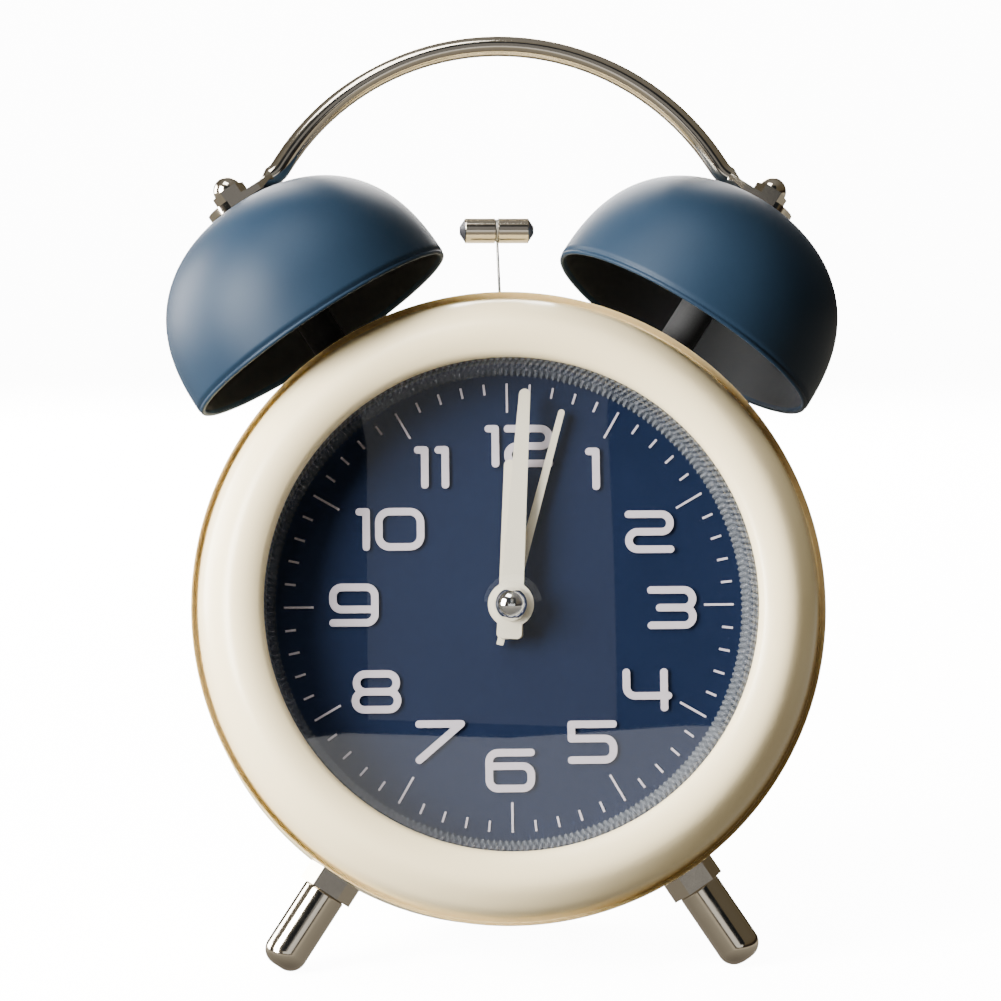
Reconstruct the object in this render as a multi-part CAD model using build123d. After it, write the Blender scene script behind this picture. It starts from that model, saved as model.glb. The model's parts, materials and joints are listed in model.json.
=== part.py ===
"""Twin-bell alarm clock: quartz movement, electromagnetic hammer, two bells, carry handle.

Clock frame used while modelling: X to the right, Y into the case, Z up, the dial faces -Y,
the hand axis is the Y axis, and Y = 0 is the plane of the bells, legs and handle.
The finished pieces are tipped back by LEAN and set down on Z = 0.
"""
import os
from math import atan2, cos, degrees, pi, radians, sin, sqrt, tan

from build123d import *

os.makedirs("parts", exist_ok=True)

# ------------------------------------------------------------------ driving dimensions (mm)
LEAN = 14.4                  # degrees that the clock leans back on its two legs and rear rim

CASE_R = 55.5                # outside radius of the round case
OPENING_R = 42.8             # radius of the opening in the front of the case
CASE_WALL = 2.0
FRONT_Y = -18.0              # foremost line of the rolled bezel
SHOULDER_Y = -1.8            # where the bezel's curve meets the straight drum
BEZEL_CURVE = 1.87           # exponent of the bezel's superellipse; 2 is a plain ellipse
DRUM_BACK = 25.0             # back edge of the drum
COVER_T = 2.0                # rear cover plate

DIAL_Y = -7.0                # front face of the dial
DIAL_T = 1.0
DIAL_R = CASE_R - 5.5
BEZEL_TUBE_R = OPENING_R + 1.4   # bore of the inner tube that carries crystal and light ring
BEZEL_TUBE_WALL = 2.0
CRYSTAL_T = 1.5
CRYSTAL_RISE = 2.2           # how far the middle of the crystal stands in front of its rim
CRYSTAL_RIM_Y = -14.8        # front of the crystal's rim, against the bezel's lip
RING_DIAL_R = OPENING_R - 2.2    # inside of the light ring at the dial
RING_FRONT_R = OPENING_R - 0.3   # inside of the light ring at the crystal

BELL_ANGLE = 33.0            # bell posts, degrees from upright
BELL_SEAT = CASE_R + 3.5     # distance of the bell's mouth from the hand axis
BELL_R = 26.0
BELL_H = 27.5
BELL_T = 1.1
POST_R = 1.5
SPACER_R = 3.25

LEG_ANGLE = 33.5             # legs, degrees from straight down
LEG_Y = -4.0
LEG_R = 3.8
LEG_LEN = 15.0
LEG_ROUND = 2.9
LEG_NUT_AF = 8.5
LEG_NUT_H = 3.5
STUD_R = 2.0

HANDLE_ROD_R = 1.85
HANDLE_ARC_R = 46.0
HANDLE_ARC_Z = BELL_SEAT - 2.6
HANDLE_ARC_HALF = 57.5       # degrees each side of the top
TAB_W = 8.0
TAB_T = 1.4
TAB_BEYOND = 1.5             # straight part of the tab beyond its hole

CAP_NUT_AF = 5.5
CAP_NUT_HEX_H = 2.2
CAP_NUT_DOME_R = 2.6

PIVOT_Z = CASE_R - 14.5               # hammer pivot above the hand axis
HAMMER_ARM = 27.4            # pivot to the middle of the hammer head
HAMMER_REST = 2.0            # degrees that the hammer rests towards the left bell
HAMMER_R = 2.3
HAMMER_LEN = 11.5
HAMMER_TIP = 0.9
GROOVE_R = 1.6
WIRE_R = 0.25

STROKE = 1.3                 # numeral stroke
NUMERAL_W = 8.6
NUMERAL_H = 7.5
NUMERAL_T = 0.45
MARK_R = RING_DIAL_R - 1.2       # outer ends of the minute marks
MARK_W = 0.38
HOUR_MARK = 5.2
MINUTE_MARK = 1.9
MARK_T = 0.15

# Hands: length, width at tip, width at root, hub radius, tail width, tail length.
ALARM_HAND = (35.8, 1.1, 1.8, 3.5, 1.2, 7.2)
HOUR_HAND = (25.5, 1.95, 4.2, 3.9, 4.3, 6.0)
MINUTE_HAND = (38.0, 1.95, 4.2, 4.0, 4.3, 6.0)
ALARM_SET = 15.6             # degrees past twelve that each hand points
HOUR_SET = 0.4
MINUTE_SET = 4.5

MOVE_X = 28.0                # half width of the movement
MOVE_Z = (-24.0, 22.0)
PLATE_T = 1.4
MOVE_BACK = 7.0
MOVE_WALL = 1.4

CELL_R = 7.1                 # AA cell
CELL_LEN = 50.0
CELL_PITCH = 14.8
TRAY_X = 26.8
TRAY_Z = (-43.4, -14.0)
TRAY_FRONT = 8.8
TRAY_WALL = 1.2

SLOT_W = 0.5                 # cross slot in a screw head
SLOT_D = 0.9

RUN = 0.05                   # radial clearance of a running fit
GAP = 0.3                    # clearance round a loose or moving edge

# --------------------------------------------------------------------------- small helpers
ON_TOP = (Align.CENTER, Align.CENTER, Align.MIN)


def disc(r, y0, y1, x=0.0, z=0.0):
    """Cylinder along Y from y0 to y1."""
    return Pos(x, y0, z) * Rot(-90, 0, 0) * Cylinder(r, y1 - y0, align=ON_TOP)


def tube(r_out, r_in, y0, y1, x=0.0, z=0.0):
    return disc(r_out, y0, y1, x, z) - disc(r_in, y0 - 1, y1 + 1, x, z)


def block(x, y, z):
    """Box between three pairs of limits."""
    size = Box(x[1] - x[0], y[1] - y[0], z[1] - z[0])
    return Pos((x[0] + x[1]) / 2, (y[0] + y[1]) / 2, (z[0] + z[1]) / 2) * size


def on_face(sketch, y0, y1):
    """Extrude a sketch drawn as seen from the front (x right, z up) from y0 to y1."""
    solid = extrude(sketch, amount=y1 - y0)
    return Pos(0, y1, 0) * Rot(90, 0, 0) * solid


def revolve_y(points):
    """Turn a closed outline of (radius, y) points about the hand axis."""
    return revolve(make_face(Polyline(*points, close=True)), Axis.Y)


def radial(angle, y=0.0):
    """Frame whose +Z points out of the case, at an angle from upright towards +X."""
    return Pos(0, y, 0) * Rot(0, angle, 0)


def rod_z(r, z0, z1):
    return Pos(0, 0, z0) * Cylinder(r, z1 - z0, align=ON_TOP)


def hexagon_z(flats, z0, z1):
    outline = RegularPolygon(flats / 2, 6, major_radius=False)
    return Pos(0, 0, z0) * extrude(outline, amount=z1 - z0)


def gear(teeth, module, y0, y1, x=0.0, z=0.0, phase=0.0):
    """Spur wheel with a tooth centred at phase degrees from +X towards +Z."""
    pitch = teeth * module / 2
    levels = ((pitch - 1.15 * module, 0.66), (pitch, 0.40), (pitch + 0.80 * module, 0.17))
    points = []
    for n in range(teeth):
        middle = radians(phase) + 2 * pi * n / teeth
        for side, order in ((-1, levels), (1, tuple(reversed(levels)))):
            for r, share in order:
                a = middle + side * share * pi / teeth
                points.append((r * cos(a), r * sin(a)))
    sketch = make_face(Polyline(*points, close=True))
    return Pos(x, 0, z) * on_face(sketch, y0, y1)


def pan_screw(r_shank, r_head, seat, shank, head=1.2):
    """Cross-slotted screw, head up, standing on a seat at z = seat, shank pointing down."""
    body = rod_z(r_shank, seat - shank, seat) + rod_z(r_head, seat, seat + head)
    top = Pos(0, 0, seat + head)
    arm = 1.4 * r_head
    cross = Box(arm, SLOT_W, SLOT_D) + Box(SLOT_W, arm, SLOT_D)
    return body - top * cross


BACKWARD = Rot(-90, 0, 0)    # turns a piece whose head is on +Z so that its head faces the back

nodes = {}

# -------------------------------------------------------------------------- case and its front
LIP_Y = CRYSTAL_RIM_Y - 0.8
CROWN_R = OPENING_R + 4.5
INNER_R = CASE_R - CASE_WALL
COVER_Y = DRUM_BACK + COVER_T
TUBE_OUT_R = BEZEL_TUBE_R + BEZEL_TUBE_WALL


def bezel_point(share):
    """Point of the bezel's outside, a share of the way in depth from the drum to the crown."""
    rise = (1 - share ** BEZEL_CURVE) ** (1 / BEZEL_CURVE)
    return (CROWN_R + (CASE_R - CROWN_R) * rise, SHOULDER_Y + (FRONT_Y - SHOULDER_Y) * share)


bezel = Spline(
    (OPENING_R, LIP_Y), (CROWN_R - 2.8, FRONT_Y + 0.5),
    *[bezel_point(share) for share in (1, 0.97, 0.85, 0.6, 0.3, 0)],
    tangents=((0.1, -1), (0, 1)),
)
hollow = Spline(
    (INNER_R, SHOULDER_Y), (INNER_R - 2.8, FRONT_Y + 5.2), (TUBE_OUT_R, FRONT_Y + 2.1),
    tangents=((0, -1), (-1, 0)),
)
rest_of_case = Polyline(
    (TUBE_OUT_R, FRONT_Y + 2.1), (TUBE_OUT_R, DIAL_Y), (BEZEL_TUBE_R, DIAL_Y),
    (BEZEL_TUBE_R, CRYSTAL_RIM_Y), (OPENING_R, CRYSTAL_RIM_Y), (OPENING_R, LIP_Y),
)
drum = Polyline((CASE_R, SHOULDER_Y), (CASE_R, DRUM_BACK), (INNER_R, DRUM_BACK), (INNER_R, SHOULDER_Y))
case = revolve(make_face([bezel, drum, hollow, rest_of_case]), Axis.Y)

COVER_BOSS_R = 3.0
COVER_SCREW_AT = INNER_R - 2.7
COVER_SCREWS = [(COVER_SCREW_AT * cos(radians(a)), COVER_SCREW_AT * sin(radians(a)))
                for a in (20, 160, 200, 340)]
DIAL_BOSS_R = 2.4
DIAL_SCREW_AT = TUBE_OUT_R + 1.6
DIAL_SCREWS = [(DIAL_SCREW_AT * cos(radians(a)), DIAL_SCREW_AT * sin(radians(a)))
               for a in (45, 135, 225, 315)]
SCREW_R = 1.0
for x, z in COVER_SCREWS:
    case += disc(COVER_BOSS_R, DIAL_Y + DIAL_T + GAP, DRUM_BACK, x, z)
for x, z in DIAL_SCREWS:
    case += disc(DIAL_BOSS_R, FRONT_Y + 1.6, DIAL_Y, x, z)
for x, z in COVER_SCREWS:
    case -= disc(SCREW_R + RUN, DRUM_BACK - 9, DRUM_BACK + 1, x, z)
for x, z in DIAL_SCREWS:
    case -= disc(SCREW_R + RUN, DIAL_Y - 6, DIAL_Y + 1, x, z)
WIRE_SLOT = (5.0, 1.5)
case -= block((-WIRE_SLOT[0], WIRE_SLOT[0]), (-WIRE_SLOT[1], WIRE_SLOT[1]), (INNER_R - 4, CASE_R + 2))
SIDES = {"left": -1, "right": 1}
for side in SIDES.values():
    case -= radial(side * BELL_ANGLE) * rod_z(POST_R + RUN, INNER_R - 3, CASE_R + 3)
    case -= radial(180 - side * LEG_ANGLE, LEG_Y) * rod_z(STUD_R + RUN, INNER_R - 3, CASE_R + 3)
nodes["case_shell"] = case

RIM_FIT = 0.15               # radial gap of the pieces dropped into the bezel's tube
DOME_EDGE = OPENING_R - 0.2
dome_radius = (DOME_EDGE ** 2 + CRYSTAL_RISE ** 2) / (2 * CRYSTAL_RISE)
HALF_EDGE = DOME_EDGE / 2
dome_half = CRYSTAL_RIM_Y - CRYSTAL_RISE + dome_radius - sqrt(dome_radius ** 2 - HALF_EDGE ** 2)
TOP_Y = CRYSTAL_RIM_Y - CRYSTAL_RISE
RIM_BACK = CRYSTAL_RIM_Y + CRYSTAL_T
RIM_R = BEZEL_TUBE_R - RIM_FIT
nodes["crystal"] = revolve(make_face([
    ThreePointArc((DOME_EDGE, CRYSTAL_RIM_Y), (HALF_EDGE, dome_half), (0, TOP_Y)),
    Line((0, TOP_Y), (0, TOP_Y + CRYSTAL_T)),
    ThreePointArc((0, TOP_Y + CRYSTAL_T), (HALF_EDGE, dome_half + CRYSTAL_T), (DOME_EDGE, RIM_BACK)),
    Polyline((DOME_EDGE, RIM_BACK), (RIM_R, RIM_BACK), (RIM_R, CRYSTAL_RIM_Y), (DOME_EDGE, CRYSTAL_RIM_Y)),
]), Axis.Y)
nodes["light_ring"] = revolve_y([
    (RING_DIAL_R, DIAL_Y), (RING_FRONT_R, RIM_BACK), (RIM_R, RIM_BACK), (RIM_R, DIAL_Y),
])

# ------------------------------------------------------------------------------ dial and print
BUSH_R = 3.5
DIAL_POST_R = 2.0
DIAL_POSTS = [(x, z) for x in (-24.5, 24.5) for z in (-20.5, 18.5)]
DIAL_BACK = DIAL_Y + DIAL_T
POST_END = DIAL_BACK + 5.0
LED_R = 1.5
LED_AT = (0.0, -RING_DIAL_R - 1.8)
dial = disc(DIAL_R, DIAL_Y, DIAL_BACK)
for x, z in DIAL_POSTS:
    dial += disc(DIAL_POST_R, DIAL_BACK, POST_END, x, z)
    dial -= disc(SCREW_R + RUN, DIAL_BACK + 0.5, POST_END + 1, x, z)
for x, z in DIAL_SCREWS:
    dial -= disc(SCREW_R + 0.15, DIAL_Y - 1, DIAL_BACK + 1, x, z)
dial -= disc(BUSH_R + RUN, DIAL_Y - 1, DIAL_BACK + 1)
dial -= disc(LED_R + RUN, DIAL_Y - 1, DIAL_BACK + 1, *LED_AT)
nodes["dial"] = dial
dial_screw = pan_screw(SCREW_R, 1.9, 0, 5.0)
nodes["inner_screws"] = [Pos(x, DIAL_BACK, z) * BACKWARD * dial_screw for x, z in DIAL_SCREWS]
nodes["dial_light"] = disc(LED_R, DIAL_Y + 0.1, DIAL_BACK + 2.4, *LED_AT) + disc(
    LED_R + 0.4, DIAL_BACK + 0.05, DIAL_BACK + 1.0, *LED_AT)

W = (NUMERAL_W - STROKE) / 2
H = (NUMERAL_H - STROKE) / 2
BEND = H / 2 - 0.02
# Each digit is one or more pen strokes: corner points, then the corner radius.
DIGITS = {
    "0": [([(0, H), (W, H), (W, -H), (-W, -H), (-W, H), (0, H)], 1.9)],
    "1": [([(-0.75, H), (0.45, H), (0.45, -H)], 0)],
    "2": [([(-W, H), (W, H), (W, 0), (-W, 0), (-W, -H), (W, -H)], BEND)],
    "3": [([(-W, H), (W, H), (W, 0), (-W + 1.5, 0)], BEND),
          ([(-W + 1.5, 0), (W, 0), (W, -H), (-W, -H)], BEND)],
    "4": [([(-W, H), (-W, -H / 3), (W, -H / 3)], BEND),
          ([(W - 0.7, H), (W - 0.7, -H)], 0)],
    "5": [([(W, H), (-W, H), (-W, H / 5)], 0),
          ([(-W, H / 5), (W, H / 5), (W, -H), (-W, -H)], BEND)],
    "6": [([(W, H), (-W, H), (-W, -H), (W, -H), (W, H / 4), (-W + 0.3, H / 4)], BEND)],
    "7": [([(-W, H), (W, H), (-W, -H)], 0)],
    "8": [([(0, H), (W - 0.2, H), (W - 0.2, 0), (-W + 0.2, 0), (-W + 0.2, H), (0, H)], BEND),
          ([(0, 0), (W, 0), (W, -H), (-W, -H), (-W, 0), (0, 0)], BEND)],
    "9": [([(W - 0.3, -H / 4), (-W, -H / 4), (-W, H), (W, H), (W, -H), (-W, -H)], BEND)],
}
# Numeral, middle of its last digit from the hand axis, and how far its "1" stands to the left.
NUMERALS = [
    ("1", (15.1, 24.1), 0), ("2", (24.8, 12.9), 0), ("3", (28.5, -0.5), 0), ("4", (23.9, -14.9), 0),
    ("5", (14.1, -23.9), 0), ("6", (-0.3, -28.7), 0), ("7", (-12.4, -23.6), 0),
    ("8", (-23.4, -14.8), 0), ("9", (-27.2, 0.35), 0), ("10", (-19.1, 13.6), 6.3),
    ("11", (-11.45, 24.5), 3.6), ("12", (3.7, 28.2), 6.3),
]


def bar(start, end):
    """One straight pen stroke with round ends."""
    run = end - start
    where = Location((start + end) / 2, (0, 0, degrees(atan2(run.Y, run.X))))
    return where * SlotCenterToCenter(run.length, STROKE)


def pen(points, bend):
    """Stroke of constant width with round ends along a line whose corners are rounded by bend."""
    corners = [Vector(*p) for p in points]
    start = corners[0]
    face = Sketch()
    for before, corner, after in zip(corners, corners[1:], corners[2:]):
        come = (corner - before).normalized()
        leave = (after - corner).normalized()
        cut = bend * tan(come.get_angle(leave) * pi / 360)
        face += bar(start, corner - come * cut)
        start = corner + leave * cut
        if bend:
            face += SlotArc(TangentArc(corner - come * cut, start, tangent=come), STROKE)
    return face + bar(start, corners[-1])


def digit(name):
    face = Sketch()
    for points, bend in DIGITS[name]:
        face += pen(points, bend)
    return face


numerals = []
for text, (x, z), back in NUMERALS:
    face = Pos(x, z) * digit(text[-1])
    if back:
        face += Pos(x - back, z) * digit(text[0])
    numerals.append(on_face(face, DIAL_Y - NUMERAL_T, DIAL_Y))
nodes["dial_numerals"] = numerals

marks = []
for n in range(60):
    length = MINUTE_MARK if n % 5 else HOUR_MARK
    mark = Box(MARK_W, MARK_T, length, align=(Align.CENTER, Align.MAX, Align.MAX))
    marks.append(Rot(0, 6 * n, 0) * Pos(0, DIAL_Y, MARK_R) * mark)
nodes["minute_marks"] = marks

# ------------------------------------------------------------- bells, handle, legs: the outside
CROWN = BELL_SEAT + BELL_H
TAB_MID = CROWN + TAB_T / 2
WASHER_T = 0.6
WASHER_R = 3.7
POST_NUT = (5.5, 2.2)
NUT_SEAT = 0.3              # a flat nut stays clear of the case's round inner wall


def bell_outline(r, h, r_flat):
    """Half outline of a full bell: nearly upright at the mouth, level at the crown."""
    return Spline(
        (r, 0), (1.008 * r, 0.26 * h), (0.89 * r, 0.6 * h), (0.62 * r, 0.85 * h), (0.27 * r, 0.985 * h),
        (r_flat, h), tangents=((0.1, 1), (-1, 0)),
    )


outside = bell_outline(BELL_R, BELL_H, 0.16 * BELL_R)
inside = bell_outline(BELL_R - BELL_T, BELL_H - BELL_T, 0.16 * BELL_R)
FLAT = 0.16 * BELL_R
section = make_face([
    outside, Polyline((FLAT, BELL_H), (POST_R + RUN, BELL_H), (POST_R + RUN, BELL_H - BELL_T),
                      (FLAT, BELL_H - BELL_T)),
    inside, Line((BELL_R - BELL_T, 0), (BELL_R, 0)),
])
LIP_R = 0.65
bell = revolve(Rot(90, 0, 0) * section, Axis.Z)
bell += Pos(0, 0, LIP_R / 2) * Torus(BELL_R - BELL_T / 2, LIP_R)
post = rod_z(POST_R, INNER_R - 3.4, CROWN + TAB_T + CAP_NUT_HEX_H + 1.4)
spacer = rod_z(SPACER_R, CASE_R, CROWN - BELL_T - WASHER_T) - rod_z(POST_R + RUN, CASE_R - 1, CROWN)
washer = rod_z(WASHER_R, CROWN - BELL_T - WASHER_T, CROWN - BELL_T) - rod_z(POST_R + RUN, 0, CROWN)
nut_top = CROWN + TAB_T
cap_nut = hexagon_z(CAP_NUT_AF, nut_top, nut_top + CAP_NUT_HEX_H)
cap_nut += Pos(0, 0, nut_top + CAP_NUT_HEX_H) * Sphere(CAP_NUT_DOME_R, arc_size1=0, align=ON_TOP)
cap_nut -= rod_z(POST_R, CROWN, nut_top + CAP_NUT_HEX_H + 1.4)
lock_nut = hexagon_z(POST_NUT[0], INNER_R - NUT_SEAT - POST_NUT[1], INNER_R - NUT_SEAT)
lock_nut -= rod_z(POST_R, 0, INNER_R)

LEG_SEAT = CASE_R + LEG_NUT_H
LEG_END = LEG_SEAT + LEG_LEN
LEG_LOCK = (5.5, 2.0)
LEG_LOCK_SEAT = 0.9          # the leg's inner nut stays clear of the bezel's hollow
STUD_END = INNER_R - LEG_LOCK_SEAT - LEG_LOCK[1] - 0.4
leg_nut = hexagon_z(LEG_NUT_AF, CASE_R, LEG_SEAT) - rod_z(STUD_R + RUN, CASE_R - 1, LEG_SEAT + 1)
leg = rod_z(LEG_R, LEG_SEAT, LEG_END)
leg = fillet(leg.edges().group_by(Axis.Z)[-1], LEG_ROUND)
leg = fillet(leg.edges().group_by(Axis.Z)[0], 0.4)
leg += rod_z(STUD_R, STUD_END, LEG_SEAT + 0.5)
leg_lock = hexagon_z(LEG_LOCK[0], INNER_R - LEG_LOCK_SEAT - LEG_LOCK[1], INNER_R - LEG_LOCK_SEAT)
leg_lock -= rod_z(STUD_R, 0, INNER_R)

for name in ("bell_posts", "bell_spacers", "bell_washers", "cap_nuts", "leg_nuts", "lock_nuts"):
    nodes[name] = []
for name, side in SIDES.items():
    up = radial(side * BELL_ANGLE)
    down = radial(180 - side * LEG_ANGLE, LEG_Y)
    nodes[name + "_bell"] = up * Pos(0, 0, BELL_SEAT) * bell
    nodes["bell_posts"].append(up * post)
    nodes["bell_spacers"].append(up * spacer)
    nodes["bell_washers"].append(up * washer)
    nodes["cap_nuts"].append(up * cap_nut)
    nodes["lock_nuts"] += [up * lock_nut, down * leg_lock]
    nodes[name + "_leg"] = down * leg
    nodes["leg_nuts"].append(down * leg_nut)

# The carry handle: one round rod, bent to an arc, with both ends pressed flat and drilled.
ROD_LIFT = 0.9               # the rod's middle stands this much above the tab's middle
ROD_END = 8.0                # from the post to where the round rod ends
FLAT_END = 4.8               # from the post to where the flat tab is full width
HANDLE_BEND_R = 4.0
tilt = radians(BELL_ANGLE)
half = radians(HANDLE_ARC_HALF)
along = Vector(cos(tilt), -sin(tilt))
rod_line = Vector(sin(tilt), cos(tilt)) * (TAB_MID + ROD_LIFT)
rod_end = rod_line - along * ROD_END
arc_end = Vector(HANDLE_ARC_R * sin(half), HANDLE_ARC_Z + HANDLE_ARC_R * cos(half))
slope = Vector(cos(half), -sin(half))
gap = rod_line - arc_end
reach = (gap.X * along.Y - gap.Y * along.X) / (slope.X * along.Y - slope.Y * along.X)
knee = arc_end + slope * reach
right_bend = FilletPolyline(arc_end, knee, rod_end, radius=HANDLE_BEND_R)
left_bend = mirror(right_bend, Plane.YZ)
arch = CenterArc((0, HANDLE_ARC_Z), HANDLE_ARC_R, 90 - HANDLE_ARC_HALF, 2 * HANDLE_ARC_HALF)
rod_path = Wire(right_bend.edges() + arch.edges() + left_bend.edges())
rod = Rot(90, 0, 0) * sweep(Plane(origin=rod_path @ 0, z_dir=rod_path % 0) * Circle(HANDLE_ROD_R), rod_path)
handle = rod
for side in SIDES.values():
    flat = Pos(-FLAT_END, 0, TAB_MID) * Box(
        FLAT_END + TAB_BEYOND, TAB_W, TAB_T, align=(Align.MIN, Align.CENTER, Align.CENTER))
    flat += Pos(TAB_BEYOND, 0, TAB_MID) * Cylinder(TAB_W / 2, TAB_T)
    round_end = Plane(origin=(-ROD_END, 0, TAB_MID + ROD_LIFT), x_dir=(0, 1, 0), z_dir=(1, 0, 0))
    flat_end = Plane(origin=(-FLAT_END, 0, TAB_MID), x_dir=(0, 1, 0), z_dir=(1, 0, 0))
    flat += loft([round_end * Circle(HANDLE_ROD_R), flat_end * Rectangle(TAB_W, TAB_T)])
    flat -= Pos(0, 0, TAB_MID) * Cylinder(POST_R + RUN, TAB_T * 3)
    tab = radial(BELL_ANGLE) * flat
    handle += tab if side > 0 else mirror(tab, Plane.YZ)
nodes["handle"] = handle

# --------------------------------------------------------------------------- hand axis and hands
ARBOR_R = 1.0                # minute arbor, and the shafts of the two setting knobs
ARBOR_BACK_R = 0.8
PIVOT_R = 0.5
HOUR_TUBE = (ARBOR_R + RUN, 1.75)
ALARM_TUBE = (HOUR_TUBE[1] + RUN, 2.5)
HAND_T = 0.4
HAND_STEP = 1.0              # from one hand to the next along the axis
ALARM_HAND_Y = DIAL_Y - NUMERAL_T - 0.85
HOUR_HAND_Y = ALARM_HAND_Y - HAND_STEP
MINUTE_HAND_Y = HOUR_HAND_Y - HAND_STEP
CAP_R = 3.0

PLATE_Y = DIAL_BACK + PLATE_T                # back face of the movement's front plate
WHEEL_T = 1.0
MOTION_MODULE = 0.4                          # cannon pinion and minute wheel
HOUR_MODULE = MOTION_MODULE * (12 + 36) / (10 + 40)
SET_X = MOTION_MODULE * (12 + 36) / 2        # minute wheel, left of the hand axis
ALARM_MODULE = 0.26
ALARM_X = ALARM_MODULE * (60 + 12) / 2       # alarm setting pinion, right of the hand axis
TRAIN_MODULE = 0.25
THIRD_Z = -TRAIN_MODULE * (60 + 10) / 2      # third wheel, below the hand axis
ALARM_WHEEL_Y = PLATE_Y + 0.4
HOUR_WHEEL_Y = ALARM_WHEEL_Y + WHEEL_T + 0.8
CANNON_Y = HOUR_WHEEL_Y + WHEEL_T + 0.4
DRIVE_Y = CANNON_Y + 2.0
THIRD_Y = DRIVE_Y + 1.9
CASE_FLOOR = MOVE_BACK - MOVE_WALL           # inside of the movement's back wall


def hand(sizes, angle, bore, y):
    """Tapered hand with a round tip, a round hub and a short tail, turned clockwise by angle."""
    length, tip, root, hub, tail_w, tail = sizes
    point = length - tip / 2
    blade = make_face(Polyline(
        (-root / 2, 0), (-tip / 2, point), (tip / 2, point), (root / 2, 0), close=True))
    face = blade + Pos(0, point) * Circle(tip / 2) + Circle(hub)
    face += Pos(0, -tail / 2) * RectangleRounded(tail_w, tail, min(tail_w, tail) * 0.2)
    return on_face(Rot(0, 0, -angle) * face - Circle(bore), y - HAND_T, y)


nodes["alarm_hand"] = hand(ALARM_HAND, ALARM_SET, ALARM_TUBE[1], ALARM_HAND_Y)
nodes["hour_hand"] = hand(HOUR_HAND, HOUR_SET, HOUR_TUBE[1], HOUR_HAND_Y)
nodes["minute_hand"] = hand(MINUTE_HAND, MINUTE_SET, ARBOR_R, MINUTE_HAND_Y)
ARBOR_END = MINUTE_HAND_Y - HAND_T - 0.4
cap = Pos(0, MINUTE_HAND_Y - HAND_T, 0) * Rot(90, 0, 0) * Sphere(CAP_R, arc_size1=0, align=ON_TOP)
nodes["hand_cap"] = cap - disc(ARBOR_R, ARBOR_END - 0.1, MINUTE_HAND_Y)

nodes["centre_wheel"] = (
    disc(ARBOR_R, ARBOR_END, DRIVE_Y + WHEEL_T) + disc(ARBOR_BACK_R, DRIVE_Y, MOVE_BACK)
    + gear(12, MOTION_MODULE, CANNON_Y, CANNON_Y + 1.6)
    + gear(60, TRAIN_MODULE, DRIVE_Y, DRIVE_Y + WHEEL_T, phase=-90)
)
nodes["hour_wheel"] = (
    tube(HOUR_TUBE[1], HOUR_TUBE[0], HOUR_HAND_Y - HAND_T - 0.1, HOUR_WHEEL_Y + WHEEL_T)
    + gear(40, HOUR_MODULE, HOUR_WHEEL_Y, HOUR_WHEEL_Y + WHEEL_T)
    - disc(HOUR_TUBE[0], HOUR_WHEEL_Y - 1, HOUR_WHEEL_Y + 2)
)
nodes["alarm_wheel"] = (
    tube(ALARM_TUBE[1], ALARM_TUBE[0], ALARM_HAND_Y - HAND_T - 0.1, ALARM_WHEEL_Y + WHEEL_T)
    + gear(60, ALARM_MODULE, ALARM_WHEEL_Y, ALARM_WHEEL_Y + WHEEL_T)
    - disc(ALARM_TUBE[0], ALARM_WHEEL_Y - 1, ALARM_WHEEL_Y + 2)
)
KNOB_Y = (COVER_Y + 0.8, COVER_Y + 8.8)
KNOB_R = 6.5
SHAFT_END = KNOB_Y[0] + 5.0
nodes["minute_wheel"] = (
    disc(PIVOT_R, DIAL_BACK + 0.2, HOUR_WHEEL_Y, -SET_X) + disc(ARBOR_R, CANNON_Y, SHAFT_END, -SET_X)
    + gear(10, HOUR_MODULE, HOUR_WHEEL_Y - 0.2, CANNON_Y + 0.1, -SET_X, phase=180 / 10)
    + gear(36, MOTION_MODULE, CANNON_Y + 0.1, CANNON_Y + 1.5, -SET_X, phase=180 / 36)
)
nodes["alarm_pinion"] = (
    disc(PIVOT_R, DIAL_BACK + 0.2, ALARM_WHEEL_Y, ALARM_X)
    + disc(ARBOR_R, ALARM_WHEEL_Y + WHEEL_T, SHAFT_END, ALARM_X)
    + gear(12, ALARM_MODULE, ALARM_WHEEL_Y, ALARM_WHEEL_Y + WHEEL_T, ALARM_X, phase=180 + 180 / 12)
)
nodes["third_wheel"] = (
    disc(PIVOT_R, DIAL_BACK + 0.2, CASE_FLOOR + 0.8, 0, THIRD_Z)
    + gear(10, TRAIN_MODULE, DRIVE_Y - 0.1, DRIVE_Y + WHEEL_T + 0.1, 0, THIRD_Z, phase=90 + 180 / 10)
    + gear(60, TRAIN_MODULE, THIRD_Y, THIRD_Y + 0.7, 0, THIRD_Z)
)


def knob(x):
    """Fluted setting knob pressed on the end of its shaft."""
    body = disc(KNOB_R, *KNOB_Y, x)
    body = fillet(body.edges().group_by(Axis.Y)[-1], 0.8)
    for n in range(24):
        a = 2 * pi * n / 24
        groove_at = (x + (KNOB_R + 0.1) * cos(a), (KNOB_R + 0.1) * sin(a))
        body -= disc(0.45, KNOB_Y[0] + 1.5, KNOB_Y[1] + 1, *groove_at)
    return body - disc(ARBOR_R, KNOB_Y[0] - 1, SHAFT_END, x)


nodes["time_knob"] = knob(-SET_X)
nodes["alarm_knob"] = knob(ALARM_X)

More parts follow.
